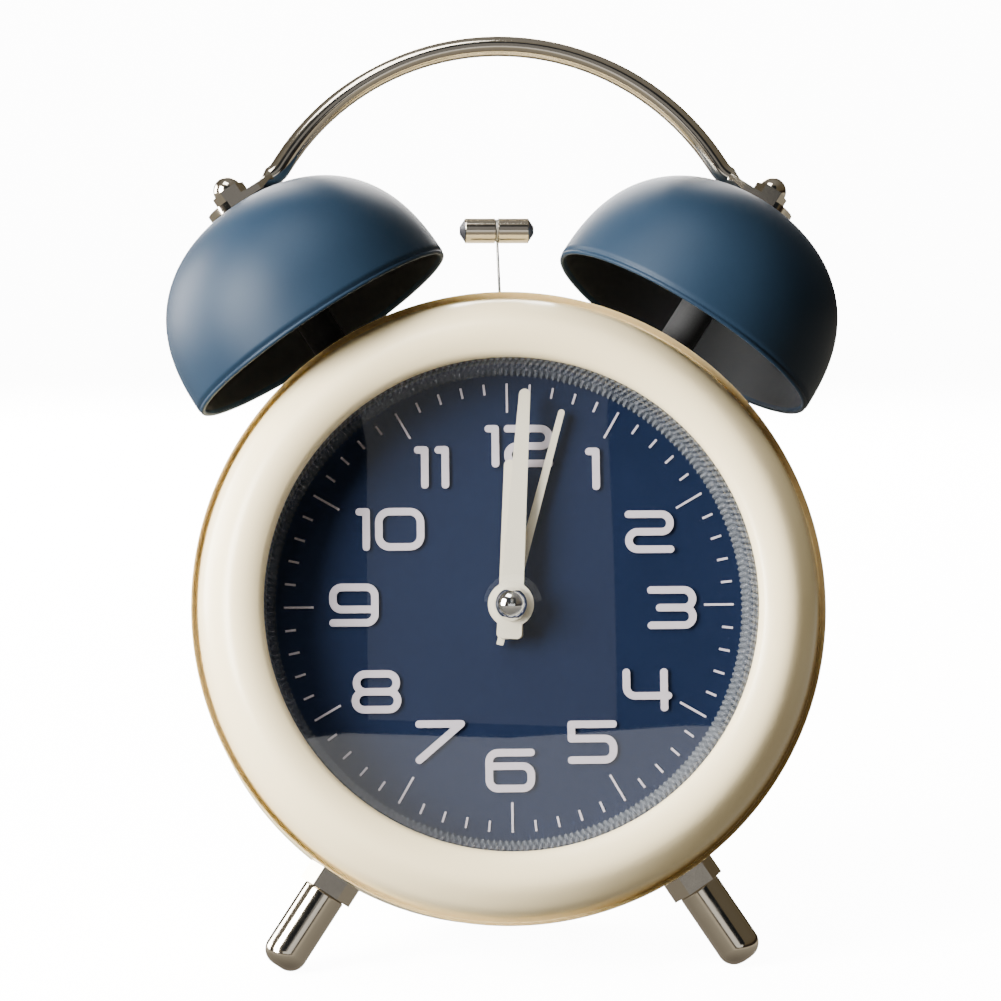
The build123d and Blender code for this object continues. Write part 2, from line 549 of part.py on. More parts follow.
# ------------------------------------------------------------------------ movement and its motor
ROTOR_GAP = 0.2              # rotor pinion to the third wheel's teeth
ROTOR_PINION_R = 0.8
ROTOR_R = 2.6
third_tip = TRAIN_MODULE * (60 / 2 + 0.8)
rotor_reach = third_tip + ROTOR_PINION_R + ROTOR_GAP
ROTOR_X = -rotor_reach * sin(radians(35))
ROTOR_Z = THIRD_Z - rotor_reach * cos(radians(35))
MAGNET_Y = (CANNON_Y + 0.4, THIRD_Y - 0.5)
nodes["rotor"] = (
    disc(PIVOT_R * 0.6, DIAL_BACK + 0.4, CASE_FLOOR + 0.6, ROTOR_X, ROTOR_Z)
    + disc(ROTOR_R, *MAGNET_Y, ROTOR_X, ROTOR_Z)
    + disc(ROTOR_PINION_R, THIRD_Y - 0.3, THIRD_Y + 1.0, ROTOR_X, ROTOR_Z)
)
COIL_Z = -18.0
COIL_X = (8.5, 18.5)
COIL_R = 3.1
CORE_H = 2.4
core_y = (MAGNET_Y[0] + 0.6, MAGNET_Y[0] + 1.6)
core_mid = (core_y[0] + core_y[1]) / 2
stator = block((ROTOR_X - 5.0, 4.0), core_y, (ROTOR_Z - 4.4, ROTOR_Z + 4.4))
stator -= disc(ROTOR_R + GAP, core_y[0] - 1, core_y[1] + 1, ROTOR_X, ROTOR_Z)
stator += block((3.5, COIL_X[1] + 2.2), core_y, (COIL_Z - CORE_H / 2, COIL_Z + CORE_H / 2))
nodes["stator"] = stator
coil = Pos(COIL_X[0], core_mid, COIL_Z) * Rot(0, 90, 0) * rod_z(COIL_R, 0, COIL_X[1] - COIL_X[0])
nodes["motor_coil"] = coil - block(
    (0, MOVE_X), (core_y[0] - RUN, core_y[1] + RUN), (COIL_Z - CORE_H / 2 - RUN, COIL_Z + CORE_H / 2 + RUN))

plate = block((-MOVE_X, MOVE_X), (DIAL_BACK, PLATE_Y), MOVE_Z) + disc(BUSH_R, DIAL_Y - 0.4, PLATE_Y)
plate -= disc(ALARM_TUBE[1] + RUN, DIAL_Y - 2, PLATE_Y + 1)
shell = block((-MOVE_X, MOVE_X), (PLATE_Y, MOVE_BACK), MOVE_Z)
shell -= block((MOVE_WALL - MOVE_X, MOVE_X - MOVE_WALL), (PLATE_Y - 1, CASE_FLOOR),
               (MOVE_Z[0] + MOVE_WALL, MOVE_Z[1] - MOVE_WALL))
HEAD_SINK = 1.5
for x, z in DIAL_POSTS:
    plate -= disc(DIAL_POST_R + RUN, DIAL_BACK - 1, PLATE_Y + 1, x, z)
    shell += disc(DIAL_POST_R + 1.2, PLATE_Y, MOVE_BACK, x, z)
    shell -= disc(DIAL_POST_R + RUN, PLATE_Y - 1, POST_END + 0.2, x, z)
    shell -= disc(SCREW_R + RUN, POST_END, MOVE_BACK + 1, x, z)
    shell -= disc(2.1, MOVE_BACK - HEAD_SINK, MOVE_BACK + 1, x, z)
for x, z, r in ((-SET_X, 0, PIVOT_R), (ALARM_X, 0, PIVOT_R), (0, THIRD_Z, PIVOT_R),
                (ROTOR_X, ROTOR_Z, PIVOT_R * 0.6)):
    plate -= disc(r + RUN, DIAL_BACK, PLATE_Y + 1, x, z)
for x, z, r in ((0, 0, ARBOR_BACK_R), (-SET_X, 0, ARBOR_R), (ALARM_X, 0, ARBOR_R), (0, THIRD_Z, PIVOT_R),
                (ROTOR_X, ROTOR_Z, PIVOT_R * 0.6)):
    shell -= disc(r + RUN, CASE_FLOOR - 1, MOVE_BACK + 1, x, z)
# Short pillars from the plate carry the motor's iron core.
for x in (-9.0, COIL_X[1] + 1.2):
    z = COIL_Z if x > 0 else ROTOR_Z + 3.0
    plate += disc(1.0, PLATE_Y, core_y[0], x, z)
BRACKET_SCREW_X = 11.5
for x in (-BRACKET_SCREW_X, BRACKET_SCREW_X):
    shell -= Pos(x, 0, 0) * rod_z(SCREW_R + RUN, MOVE_Z[1] - MOVE_WALL - 1, MOVE_Z[1] + 1)
nodes["movement_plate"] = plate
nodes["movement_case"] = shell
move_screw = pan_screw(SCREW_R, 1.9, 0, MOVE_BACK - HEAD_SINK - DIAL_BACK - 1.0)
nodes["inner_screws"] += [
    Pos(x, MOVE_BACK - HEAD_SINK, z) * BACKWARD * move_screw for x, z in DIAL_POSTS]
BOARD_Y = (CASE_FLOOR - 1.0, CASE_FLOOR)
nodes["movement_board"] = block((5.0, 19.5), BOARD_Y, (9.0, 19.5)) + disc(
    2.4, BOARD_Y[0] - 0.8, BOARD_Y[0], 12.0, 14.5)
nodes["quartz_crystal"] = Pos(15.4, BOARD_Y[0] - 1.0, 11.0) * rod_z(1.0, 0, 6.5)

# ------------------------------------------------------------------------------ alarm hammer
WEB_T = 1.2
WEB_X = 14.0
CHEEK_X = 8.0
CHEEK_Y = (3.6, 4.8)
CHEEK_TOP = PIVOT_Z + 3.5
PIN_R = 0.8
web_z = MOVE_Z[1]
bracket = block((-WEB_X, WEB_X), (-CHEEK_Y[1], CHEEK_Y[1]), (web_z, web_z + WEB_T))
for y in (CHEEK_Y, (-CHEEK_Y[1], -CHEEK_Y[0])):
    bracket += block((-CHEEK_X, CHEEK_X), y, (web_z, CHEEK_TOP))
bracket -= disc(PIN_R + RUN / 5, -CHEEK_Y[1] - 1, CHEEK_Y[1] + 1, 0, PIVOT_Z)
for x in (-BRACKET_SCREW_X, BRACKET_SCREW_X):
    bracket -= Pos(x, 0, 0) * rod_z(SCREW_R + 0.15, web_z - 1, web_z + WEB_T + 1)
nodes["hammer_bracket"] = bracket
bracket_screw = pan_screw(SCREW_R, 1.9, web_z + WEB_T, WEB_T + MOVE_WALL)
nodes["inner_screws"] += [Pos(x, 0, 0) * bracket_screw for x in (-BRACKET_SCREW_X, BRACKET_SCREW_X)]
nodes["hammer_pin"] = disc(PIN_R, -CHEEK_Y[1] - 0.4, CHEEK_Y[1] + 0.4, 0, PIVOT_Z)

POLE_X = (4.2, 5.8)
POLE_Y = 1.5
CORE_Z = (26.5, 28.5)
POLE_TOP = 36.0
core = block((-POLE_X[1], POLE_X[1]), (-POLE_Y, POLE_Y), CORE_Z)
for side in SIDES.values():
    a, b = sorted((side * POLE_X[0], side * POLE_X[1]))
    core += block((a, b), (-POLE_Y, POLE_Y), (CORE_Z[0], POLE_TOP))
nodes["magnet_core"] = core
WINDING_R = 3.0
winding = Pos(-POLE_X[0], 0, sum(CORE_Z) / 2) * Rot(0, 90, 0) * rod_z(WINDING_R, 0, 2 * POLE_X[0])
nodes["magnet_coil"] = winding - block(
    (-CHEEK_X, CHEEK_X), (-POLE_Y - RUN, POLE_Y + RUN), (CORE_Z[0] - RUN, CORE_Z[1] + RUN))
# The core stands on the web on two feet beside its winding.
for side in SIDES.values():
    a, b = sorted((side * POLE_X[0], side * POLE_X[1]))
    nodes["magnet_core"] += block((a, b), (-POLE_Y, POLE_Y), (web_z + WEB_T, CORE_Z[0]))

swing = Pos(0, 0, PIVOT_Z) * Rot(0, -HAMMER_REST, 0)
HUB_R = 2.2
ARMATURE = (3.0, 5.0, 3.4)
SOCKET_R = 1.2
SOCKET = (1.5, 6.0)
WIRE_FOOT = 2.6
lever = disc(HUB_R, -CHEEK_Y[0] + 0.2, CHEEK_Y[0] - 0.2) + rod_z(SOCKET_R, SOCKET[0], SOCKET[1])
lever += block((-0.8, 0.8), (-1.6, 1.6), (-4.8, -1.0))
lever -= disc(PIN_R + RUN, -CHEEK_Y[1], CHEEK_Y[1])
lever -= rod_z(WIRE_R, WIRE_FOOT, SOCKET[1] + 1)
nodes["hammer_lever"] = swing * lever
nodes["hammer_armature"] = swing * Pos(0, 0, -4.8 - ARMATURE[2] / 2) * Box(*ARMATURE)
loop_r = GROOVE_R + WIRE_R
wire = rod_z(WIRE_R, WIRE_FOOT, HAMMER_ARM - loop_r)
head_mid = swing * Pos(0, 0, HAMMER_ARM) * Rot(0, HAMMER_REST, 0)      # the head rests level
nodes["hammer_wire"] = swing * wire + head_mid * Rot(0, 90, 0) * Torus(loop_r, WIRE_R)
head = Rot(0, 90, 0) * Cylinder(HAMMER_R, HAMMER_LEN)
groove = Cylinder(HAMMER_R + 1, 2.6 * WIRE_R) - Cylinder(GROOVE_R, 2.6 * WIRE_R)
head = fillet(head.edges(), 0.25) - Rot(0, 90, 0) * groove
nodes["hammer_head"] = head_mid * head
tip = Cone(HAMMER_R - 0.25, 0.7, HAMMER_TIP, align=ON_TOP)
tip = Pos(0, 0, HAMMER_LEN / 2) * tip
nodes["hammer_tips"] = [head_mid * Rot(0, side * 90, 0) * tip for side in SIDES.values()]

# ------------------------------------------------------------------- rear cover and its fittings
SHELF = 0.6                  # step in the cover's opening on which the battery door seats
DOOR_LAP = TRAY_WALL
tray_x = TRAY_X + TRAY_WALL
tray_z = (TRAY_Z[0] - TRAY_WALL, TRAY_Z[1] + TRAY_WALL)
cover = disc(CASE_R, DRUM_BACK, COVER_Y)
cover = fillet(cover.edges().group_by(Axis.Y)[-1], 1.2)
cover += block((-tray_x, tray_x), (TRAY_FRONT - TRAY_WALL, DRUM_BACK), tray_z)
cover -= block((-TRAY_X, TRAY_X), (TRAY_FRONT, COVER_Y + 1), TRAY_Z)
cover -= block((-tray_x, tray_x), (DRUM_BACK + SHELF, COVER_Y + 1), tray_z)
for x in (-SET_X, ALARM_X):
    cover -= disc(ARBOR_R + RUN, DRUM_BACK - 1, COVER_Y + 1, x)
for x, z in COVER_SCREWS:
    cover -= disc(SCREW_R + 0.3, DRUM_BACK - 1, COVER_Y + 1, x, z)

BUTTON_AT = (-17.0, 30.0)
BUTTON_R = 4.0
BUTTON_TRAVEL = 0.8
SWITCH_Z = 30.0
SWITCH_REST = (13.0, 17.0)
SWITCH_TRAVEL = 4.0
THUMB_H = 3.0
BOARD = (DRUM_BACK - 8.0, DRUM_BACK - 6.4)
STANDOFFS = [(-22.0, 40.0), (22.0, 40.0), (-22.0, 19.0), (22.0, 19.0)]
window = (SWITCH_REST[0] - GAP, SWITCH_REST[1] + SWITCH_TRAVEL + GAP)
window_z = (SWITCH_Z - THUMB_H / 2 - GAP, SWITCH_Z + THUMB_H / 2 + GAP)
cover -= disc(BUTTON_R + RUN, DRUM_BACK - 1, COVER_Y + 1, *BUTTON_AT)
cover -= block(window, (DRUM_BACK - 1, COVER_Y + 1), window_z)
for x, z in STANDOFFS:
    cover += disc(2.2, BOARD[1], DRUM_BACK, x, z)
    cover -= disc(SCREW_R + RUN, BOARD[1] - 1, DRUM_BACK - 0.5, x, z)
nodes["rear_cover"] = cover
cover_screw = pan_screw(SCREW_R, 2.3, 0, COVER_T + 8.0)
nodes["cover_screws"] = [Pos(x, COVER_Y, z) * BACKWARD * cover_screw for x, z in COVER_SCREWS]

board = block((-25.0, 25.0), BOARD, (16.0, 43.0))
for x, z in STANDOFFS:
    board -= disc(SCREW_R + 0.15, BOARD[0] - 1, BOARD[1] + 1, x, z)
nodes["circuit_board"] = board
board_screw = pan_screw(SCREW_R, 1.9, 0, BOARD[1] - BOARD[0] + 5.0)
nodes["inner_screws"] += [Pos(x, BOARD[0], z) * Rot(90, 0, 0) * board_screw for x, z in STANDOFFS]
FLANGE_T = 0.9
FLANGE_BACK = DRUM_BACK - 0.1
STEM_END = FLANGE_BACK - FLANGE_T - 1.0
TACT_TOP = STEM_END - BUTTON_TRAVEL - 0.1
button = disc(BUTTON_R, FLANGE_BACK - FLANGE_T, COVER_Y + 2.0, *BUTTON_AT)
button = fillet(button.edges().group_by(Axis.Y)[-1], 0.6)
button += disc(BUTTON_R + 1.0, FLANGE_BACK - FLANGE_T, FLANGE_BACK, *BUTTON_AT)
button += disc(1.4, STEM_END, FLANGE_BACK, *BUTTON_AT)
nodes["light_button"] = button
x, z = BUTTON_AT
nodes["light_switch"] = block((x - 3, x + 3), (BOARD[1], TACT_TOP - 0.8), (z - 3, z + 3)) + disc(
    1.5, TACT_TOP - 0.8, TACT_TOP, x, z)
thumb_z = (SWITCH_Z - THUMB_H / 2, SWITCH_Z + THUMB_H / 2)
thumb = block(SWITCH_REST, (FLANGE_BACK - FLANGE_T, COVER_Y + 1.8), thumb_z)
for n in range(3):
    mid = SWITCH_REST[0] + 1 + n
    thumb -= block((mid - 0.2, mid + 0.2), (COVER_Y + 1.4, COVER_Y + 2), (SWITCH_Z - 2, SWITCH_Z + 2))
thumb += block((SWITCH_REST[0] - 1.5, SWITCH_REST[1] + 1.5), (FLANGE_BACK - FLANGE_T, FLANGE_BACK),
               (SWITCH_Z - 3.0, SWITCH_Z + 3.0))
nodes["alarm_switch"] = thumb
nodes["alarm_switch_body"] = block(
    (SWITCH_REST[0] - 3, SWITCH_REST[1] + SWITCH_TRAVEL + 3), (BOARD[1], FLANGE_BACK - FLANGE_T - 0.3),
    (SWITCH_Z - 3.5, SWITCH_Z + 3.5))

door = block((GAP - tray_x, tray_x - GAP), (DRUM_BACK + SHELF, COVER_Y), (tray_z[0] + GAP, tray_z[1] - GAP))
for n in range(5):
    low = tray_z[1] - 5.0 - 1.6 * n
    door -= block((-8, 8), (COVER_Y - 0.4, COVER_Y + 1), (low, low + 0.7))
for x in (-14.0, 14.0):
    for low in (TRAY_Z[0] + GAP, TRAY_Z[1] - GAP - 1.0):
        door += block((x - 3, x + 3), (DRUM_BACK - 1.2, DRUM_BACK + SHELF), (low, low + 1.0))
nodes["battery_door"] = door

CONTACT_T = 0.4
NUB = (2.75, 1.0)
cell_y = TRAY_FRONT + GAP + CELL_R
cell_body = CELL_LEN - NUB[1]
cell = fillet(Cylinder(CELL_R, cell_body, align=ON_TOP).edges(), 0.5)
cell += rod_z(NUB[0], cell_body, CELL_LEN)
spring_len = 2 * (TRAY_X - CONTACT_T) - CELL_LEN
cells = []
contacts = []
for side in SIDES.values():
    z = sum(TRAY_Z) / 2 + side * CELL_PITCH / 2
    ahead = Pos(0, cell_y, z) * Rot(0, side * 90, 0)
    end = TRAY_X - CONTACT_T
    cells.append(ahead * Pos(0, 0, end - CELL_LEN) * cell)
    contacts.append(ahead * Pos(0, 0, end + CONTACT_T / 2) * Box(11, 11, CONTACT_T))
    pitch = (spring_len - 0.6) / 3
    turns = [Pos(0, 0, 0.3 + n * pitch) * Torus(3.4 - 0.5 * n, 0.3) for n in range(4)]
    steps = [Pos(3.15 - 0.5 * n, 0, 0.3 + (n + 0.5) * pitch) * Rot(0, -30, 0) * Cylinder(0.25, 0.9)
             for n in range(3)]
    coil_spring = turns[0]
    for piece in turns[1:] + steps:
        coil_spring += piece
    coil_spring += Pos(0, 0, -CONTACT_T / 2) * Box(11, 11, CONTACT_T)
    contacts.append(ahead * Pos(0, 0, -end) * coil_spring)
nodes["batteries"] = cells
nodes["battery_contacts"] = contacts

# ----------------------------------------------------------------- stance: rear rim, then place
lean = radians(LEAN)
leg_dip = cos(radians(LEG_ANGLE)) * cos(lean)
DROP = (LEG_Y * sin(lean) + (LEG_END - LEG_ROUND) * leg_dip
        + (LEG_R - LEG_ROUND) * sqrt(1 - leg_dip ** 2) + LEG_ROUND)
REST = (FRONT_Y + 30, COVER_Y + 10)        # depth over which the floor trims the rim
REST_Y = COVER_Y - 1.1                     # middle of the flat that the clock stands on


def floor_z(y):
    """Height of the floor in the clock's own upright frame, at depth y."""
    return (y * sin(lean) - DROP) / cos(lean)


# The lower edge of the case's back is moulded flat where the clock stands on it.
under_floor = extrude(Plane.YZ * make_face(Polyline(
    (REST[0], floor_z(REST[0])), (REST[1], floor_z(REST[1])),
    (REST[1], -2 * CASE_R), (REST[0], -2 * CASE_R), close=True)), amount=CASE_R / 2, both=True)
nodes["case_shell"] -= under_floor
nodes["rear_cover"] -= under_floor

tipped = {}
for name, piece in nodes.items():
    solids = [s for p in (piece if isinstance(piece, list) else [piece]) for s in p.solids()]
    tipped[name] = [Rot(-LEAN, 0, 0) * s for s in solids]
boxes = [s.bounding_box() for solids in tipped.values() for s in solids]
SHIFT = (
    -(min(b.min.X for b in boxes) + max(b.max.X for b in boxes)) / 2,
    -(min(b.min.Y for b in boxes) + max(b.max.Y for b in boxes)) / 2,
    DROP,
)


def place(x, y, z):
    """A point of the clock's own frame, in the finished frame."""
    return (x + SHIFT[0], y * cos(lean) + z * sin(lean) + SHIFT[1], z * cos(lean) - y * sin(lean) + SHIFT[2])


for name, solids in tipped.items():
    finished = [Pos(*SHIFT) * s for s in solids]
    export_step(finished[0] if len(finished) == 1 else Compound(children=finished), f"parts/{name}.step")
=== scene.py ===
# %% [markdown]
# # Twin-bell alarm clock
# The clock is a round cream case with a deep blue dial, two blue steel bells, a bright carry
# handle and two splayed legs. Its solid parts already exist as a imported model, at their real
# size and place. This lesson gives them their finishes, remakes in finer mesh the pieces whose
# roundness or small teeth the eye goes to, and sets up a plain studio round them.

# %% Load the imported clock
import json
from math import cos, pi, radians, sin

import bmesh
import bpy
from mathutils import Matrix, Vector


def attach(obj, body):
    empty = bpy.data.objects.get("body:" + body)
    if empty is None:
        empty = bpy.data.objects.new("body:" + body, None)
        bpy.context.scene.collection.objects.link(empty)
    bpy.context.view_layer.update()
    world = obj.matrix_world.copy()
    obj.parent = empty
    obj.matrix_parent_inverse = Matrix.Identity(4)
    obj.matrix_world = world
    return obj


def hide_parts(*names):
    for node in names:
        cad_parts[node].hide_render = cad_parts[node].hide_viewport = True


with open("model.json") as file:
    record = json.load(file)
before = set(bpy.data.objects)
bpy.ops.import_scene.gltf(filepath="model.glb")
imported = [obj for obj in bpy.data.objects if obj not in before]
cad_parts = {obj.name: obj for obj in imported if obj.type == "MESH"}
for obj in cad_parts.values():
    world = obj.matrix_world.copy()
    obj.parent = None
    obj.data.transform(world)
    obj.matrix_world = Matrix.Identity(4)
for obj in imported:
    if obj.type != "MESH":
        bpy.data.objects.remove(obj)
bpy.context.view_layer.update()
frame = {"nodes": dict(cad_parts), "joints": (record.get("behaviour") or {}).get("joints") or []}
nodes = frame["nodes"]
joints = {joint["name"]: joint for joint in frame["joints"]}

# %% [markdown]
# The clock leans back on the rim of its case, so a point is easiest to give in the clock's own upright
# frame: x to the right, y into the case, z up, all from the middle of the dial's axis. The frame
# is read from the minute hand's joint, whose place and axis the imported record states.

# %% The clock's own frame
MM = 0.001
hand_joint = joints["minute_hand_turn"]
into = Vector(hand_joint["axis"]).normalized()
right = Vector((1, 0, 0))
upward = right.cross(into)
turned_axes = Matrix((right, into, upward)).transposed().to_4x4()
CLOCK = Matrix.Translation(Vector(hand_joint["pos_m"])) @ turned_axes


def at(x, y, z):
    """Row-frame place of a point given in the clock's own frame, in millimetres."""
    return CLOCK @ Vector((x * MM, y * MM, z * MM))


print("hand axis at", tuple(round(v, 4) for v in at(0, 0, 0)))
print("upright direction", tuple(round(v, 3) for v in upward))

# %% [markdown]
# A finish varies over a surface: plastic is cloudy, plating is smudged, paint has a grain. Those
# patterns are sums and products of noise, so the material code reads best as arithmetic. One
# small class wraps a node's output and builds a Math node for every operator.


# %% Shader arithmetic
class Level:
    """One number that varies over a surface, ready for arithmetic."""

    def __init__(self, finish, socket):
        self.finish = finish
        self.socket = socket

    def _math(self, operation, left, other):
        return self.finish.node("ShaderNodeMath", {"operation": operation}, {0: left, 1: other})

    def __add__(self, other):
        return self._math("ADD", self, other)

    __radd__ = __add__

    def __mul__(self, other):
        return self._math("MULTIPLY", self, other)

    __rmul__ = __mul__

    def __sub__(self, other):
        return self._math("SUBTRACT", self, other)

    def __rsub__(self, other):
        return self._math("SUBTRACT", other, self)

    def __pow__(self, other):
        return self._math("POWER", self, other)


class Finish:
    """A material under construction: nodes go in through node(), colours through blend()."""

    def __init__(self, name):
        self.material = bpy.data.materials.new(name)
        self.material.use_nodes = True
        self.tree = self.material.node_tree
        self.tree.nodes.clear()
        self.end = self.tree.nodes.new("ShaderNodeOutputMaterial")

    def node(self, kind, settings=None, inputs=None, output=0):
        made = self.tree.nodes.new(kind)
        for key, value in (settings or {}).items():
            if key == "stops":
                ramp = made.color_ramp
                while len(ramp.elements) < len(value):
                    ramp.elements.new(0.5)
                for element, (place, shade) in zip(ramp.elements, value):
                    element.position = place
                    element.color = (*shade, 1) if isinstance(shade, tuple) else (shade, shade, shade, 1)
            else:
                setattr(made, key, value)
        for key, value in (inputs or {}).items():
            if isinstance(value, Level):
                self.tree.links.new(value.socket, made.inputs[key])
            else:
                made.inputs[key].default_value = value
        return Level(self, made.outputs[output])

    def place(self):
        return self.node("ShaderNodeTexCoord", output="Object")

    def noise(self, grain, detail=2.0, rough=0.5, seen=None):
        """Noise whose lumps are about grain millimetres across."""
        return self.node("ShaderNodeTexNoise", {}, {
            "Vector": seen or self.place(), "Scale": 1 / (grain * MM), "Detail": detail, "Roughness": rough})

    def blend(self, share, first, second):
        """Colour between two colours."""
        inputs = {"Factor": share}
        for slot, shade in (("A", first), ("B", second)):
            inputs[slot] = shade if isinstance(shade, Level) else (*shade, 1)
        made = self.tree.nodes.new("ShaderNodeMix")
        made.data_type = "RGBA"
        sockets = {"Factor": made.inputs[0], "A": made.inputs[6], "B": made.inputs[7]}
        for key, value in inputs.items():
            if isinstance(value, Level):
                self.tree.links.new(value.socket, sockets[key])
            else:
                sockets[key].default_value = value
        return Level(self, made.outputs[2])

    def relief(self, height, depth, strength=1.0):
        """Bump whose full height is depth millimetres."""
        return self.node("ShaderNodeBump", {}, {
            "Height": height, "Distance": depth * MM, "Strength": strength})

    def surface(self, **inputs):
        shader = self.node("ShaderNodeBsdfPrincipled", {}, {
            key.replace("_", " "): (*value, 1) if isinstance(value, tuple) and len(value) == 3 else value
            for key, value in inputs.items()})
        self.tree.links.new(shader.socket, self.end.inputs["Surface"])
        return self.material


def tone(red, green, blue):
    """Linear colour of a screen colour given as 0 to 255."""
    return tuple(((v / 255 + 0.055) / 1.055) ** 2.4 if v > 10 else v / 255 / 12.92
                 for v in (red, green, blue))


print("shader arithmetic ready; mid grey is", round(tone(128, 128, 128)[0], 3))

# %% [markdown]
# The case is moulded plastic in warm cream, polished but not glass-clear: wide soft highlights,
# a faint cloudiness and the shallow orange-peel of a moulding. Subsurface light would be the
# costly way; a clear coat over a slightly varied base gives the same look cheaply.


# %% Cream case
def cream_plastic():
    f = Finish("cream_moulding")
    cloud = f.noise(35, 2)
    speck = f.noise(0.5, 3)
    peel = f.noise(2.2, 1)
    return f.surface(
        Base_Color=f.blend(cloud * 0.6 + speck * 0.12, tone(245, 229, 186), tone(238, 220, 174)),
        Roughness=0.34 + (cloud - 0.5) * 0.10 + (speck - 0.5) * 0.05,
        Normal=f.relief(peel, 0.008, 0.4), Coat_Weight=0.25, Coat_Roughness=0.24, IOR=1.46)


cream = cream_plastic()
print("made", cream.name)

# %% [markdown]
# The bells are pressed steel with a blue satin paint. A satin paint has fine flake and a broad
# highlight, so the base is slightly metallic, with a small-scale speckle in both colour and
# roughness. Inside, where the pressing is unlit, the colour is painted nearly black: painted shade.


# %% Bell paint
def bell_paint():
    f = Finish("bell_satin_blue")
    flake = f.noise(0.18, 2, 0.7)
    cloud = f.noise(9, 3)
    return f.surface(
        Base_Color=f.blend(flake * 0.5 + cloud * 0.35, tone(16, 33, 50), tone(27, 47, 66)),
        Metallic=0.1 + (flake - 0.5) * 0.16,
        Roughness=0.52 + (cloud - 0.5) * 0.08 + (flake - 0.5) * 0.08,
        Normal=f.relief(flake, 0.006, 0.35), Specular_IOR_Level=0.2)


def shaded_bell_inside():
    f = Finish("bell_inside_painted_shade")
    dust = f.noise(1.5, 4)
    # painted shade: near-black colour for the unlit inside of the bell, with a faint random speckle
    return f.surface(
        Base_Color=f.blend(dust, tone(14, 16, 22), tone(30, 33, 40)),
        Roughness=0.55 + dust * 0.2, Normal=f.relief(dust, 0.02, 0.4))


blue_paint = bell_paint()
painted_shade_inside = shaded_bell_inside()
print("made", blue_paint.name, "and", painted_shade_inside.name)

# %% [markdown]
# Handle, legs and nuts are nickel-plated: bright, a little warm, with fingerprints that only
# change the roughness. The cap over the hands is the same metal, polished like a mirror.


# %% Bright metals
def plated(name, shade, rough, smudge, scratch=0.004):
    f = Finish(name)
    prints = f.noise(4.5, 4, 0.6)
    fine = f.noise(0.35, 2)
    return f.surface(
        Base_Color=f.blend(prints, tuple(0.93 * v for v in shade), shade), Metallic=1.0,
        Roughness=rough + prints ** 2 * smudge + (fine - 0.5) * 0.02,
        Normal=f.relief(fine, scratch, 0.35))


nickel = plated("nickel_plate", (0.66, 0.60, 0.50), 0.07, 0.16)
mirror_chrome = plated("cap_chrome", (0.88, 0.87, 0.86), 0.02, 0.03, 0.0005)
dull_steel = plated("zinc_steel", (0.55, 0.54, 0.51), 0.28, 0.3, 0.01)
print("made", nickel.name, mirror_chrome.name, dull_steel.name)

# %% [markdown]
# The dial is a printed blue sheet, almost without gloss. Its numerals and marks are a thick
# pale ink, and the hands are pressed sheet in cream paint: all three are nearly matt and differ
# in tone and grain only.


# %% Dial, print and hands
def printed(name, dark, light, rough, grain, depth, gloss=0.5):
    f = Finish(name)
    cloud = f.noise(12, 3)
    weave = f.noise(grain, 3)
    return f.surface(
        Base_Color=f.blend(cloud * 0.6 + weave * 0.4, dark, light),
        Roughness=rough + (weave - 0.5) * 0.12,
        Normal=f.relief(weave, depth, 0.4), Specular_IOR_Level=gloss)


dial_blue = printed("dial_blue", tone(8, 20, 44), tone(12, 26, 52), 0.6, 0.25, 0.006, 0.12)
pale_ink = printed("pale_ink", tone(176, 168, 176), tone(192, 184, 190), 0.6, 0.15, 0.006, 0.3)
cream_hand = printed("cream_hand", tone(206, 198, 176), tone(220, 212, 190), 0.45, 0.3, 0.004)
print("made", dial_blue.name, pale_ink.name, cream_hand.name)


# %% [markdown]
# The crystal is a thin domed window. Refraction through it would blur the dial for no gain, so
# it is a mix of a clear pass-through and a mirror. The share of mirror follows Schlick's rule
# from how far the surface faces away, which is the same from either side of the glass; a
# Fresnel node would turn its inner face into a full mirror and leave the dial unlit.
#
# The ring round the dial is clear plastic with cut grooves. Its own mesh says how deep in a
# groove each point lies, in a value named "groove", and the colour darkens with it: painted
# shade in the grooves.


# %% Crystal and the clear ring
def window():
    f = Finish("crystal_clear")
    gloss = f.node("ShaderNodeBsdfGlossy", {}, {"Color": (1, 1, 1, 1), "Roughness": 0.02})
    clear = f.node("ShaderNodeBsdfTransparent", {}, {"Color": (0.985, 0.99, 0.995, 1)})
    away = f.node("ShaderNodeLayerWeight", {}, {"Blend": 0.5}, output="Facing")
    both = f.node("ShaderNodeMixShader", {}, {0: away ** 5 * 0.8 + 0.045, 1: clear, 2: gloss})
    f.tree.links.new(both.socket, f.end.inputs["Surface"])
    return f.material


def knurled_plastic():
    f = Finish("knurled_clear_plastic")
    cloud = f.noise(0.9, 3)
    groove = f.node("ShaderNodeAttribute", {"attribute_name": "groove"}, output="Fac")
    ridge = f.blend(cloud, tone(118, 124, 130), tone(196, 200, 204))
    # painted shade: the colour darkens towards each groove's floor
    return f.surface(
        Base_Color=f.blend(groove, ridge, tone(14, 20, 32)),
        Metallic=0.7, Roughness=0.18 + cloud * 0.12, Coat_Weight=0.6, Coat_Roughness=0.05)


crystal_clear = window()
knurled = knurled_plastic()
print("made", crystal_clear.name, knurled.name)


# %% [markdown]
# The rest are workaday finishes, mostly hidden: rubber, moulded plastics, wound copper, circuit
# boards and battery jackets. One recipe serves them all: a base colour with a cloud and a grain,
# and a relief of the grain. The windings add a fine ribbing from a wave, in relief and as painted
# shade darkening the troughs between the turns.


# %% Hidden finishes
def moulded(name, shade, rough=0.5, grain=0.6, depth=0.02, metal=0.0, coat=0.0):
    f = Finish(name)
    cloud = f.noise(8, 3)
    fine = f.noise(grain, 3)
    darker = tuple(0.8 * v for v in shade)
    return f.surface(
        Base_Color=f.blend(cloud * 0.5 + fine * 0.5, darker, shade), Metallic=metal,
        Roughness=rough + (fine - 0.5) * 0.2, Normal=f.relief(fine, depth, 0.5), Coat_Weight=coat)


